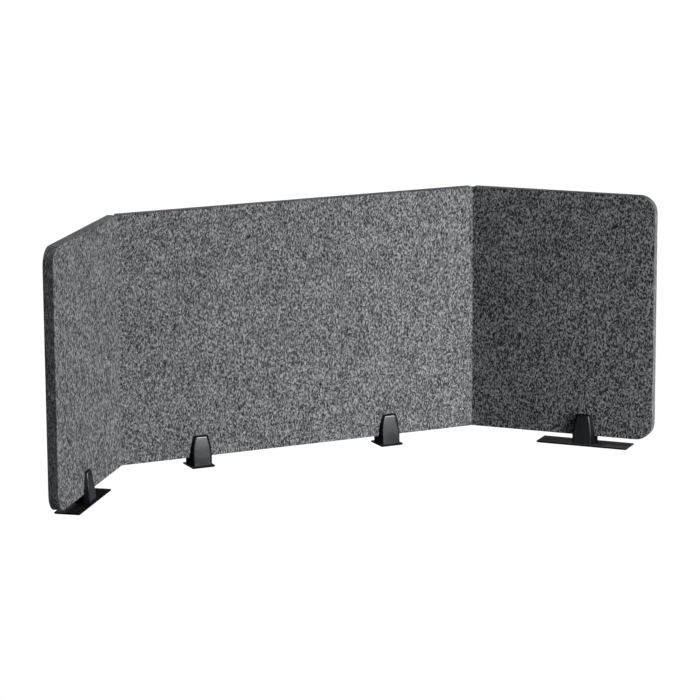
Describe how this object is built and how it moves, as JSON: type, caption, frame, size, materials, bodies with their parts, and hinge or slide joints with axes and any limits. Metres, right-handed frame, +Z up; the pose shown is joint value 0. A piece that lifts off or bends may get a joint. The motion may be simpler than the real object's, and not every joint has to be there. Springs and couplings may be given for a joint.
{
  "type": "acoustic desk divider screen",
  "caption": "Free-standing folding acoustic desk screen of thick grey felt, with a centre panel and two hinged wings on black clip feet with flat plates.",
  "frame": {"origin": "middle of the outline's box seen from above, at the level of the desk it stands on", "axes": "+X along the centre panel to the right as seen from the front, +Y to the back of the screen, away from the side that the wings fold towards, +Z up"},
  "size_m": [1.181, 0.304, 0.4685],
  "materials": {
    "felt": "pressed polyester felt, mottled mid grey",
    "clip": "black moulded plastic, satin",
    "plate": "black powder coat, satin",
    "screw": "zinc plated",
    "pad": "matt black rubber sheet"
  },
  "bodies": {
    "centre": {"centre_panel": "felt", "left_fold_web": "felt", "right_fold_web": "felt", "centre_left_clip": "clip", "centre_left_foot_plate": "plate", "centre_left_screws": "screw", "centre_left_anti_slip_pad": "pad", "centre_right_clip": "clip", "centre_right_foot_plate": "plate", "centre_right_screws": "screw", "centre_right_anti_slip_pad": "pad"},
    "left_wing": {"left_wing_panel": "felt", "left_wing_clip": "clip", "left_wing_foot_plate": "plate", "left_wing_screws": "screw", "left_wing_anti_slip_pad": "pad"},
    "right_wing": {"right_wing_panel": "felt", "right_wing_clip": "clip", "right_wing_foot_plate": "plate", "right_wing_screws": "screw", "right_wing_anti_slip_pad": "pad"}
  },
  "joints": [
    {"name": "left_fold", "type": "hinge", "parent": "centre", "child": "left_wing", "pos_m": [-0.35623, 0.12, 0.0185], "axis": [0, 0, 1], "range_deg": [-59, 114], "deforming": ["left_fold_web"]},
    {"name": "right_fold", "type": "hinge", "parent": "centre", "child": "right_wing", "pos_m": [0.34377, 0.12, 0.0185], "axis": [0, 0, -1], "range_deg": [-56.2, 116.8], "deforming": ["right_fold_web"]}
  ]
}
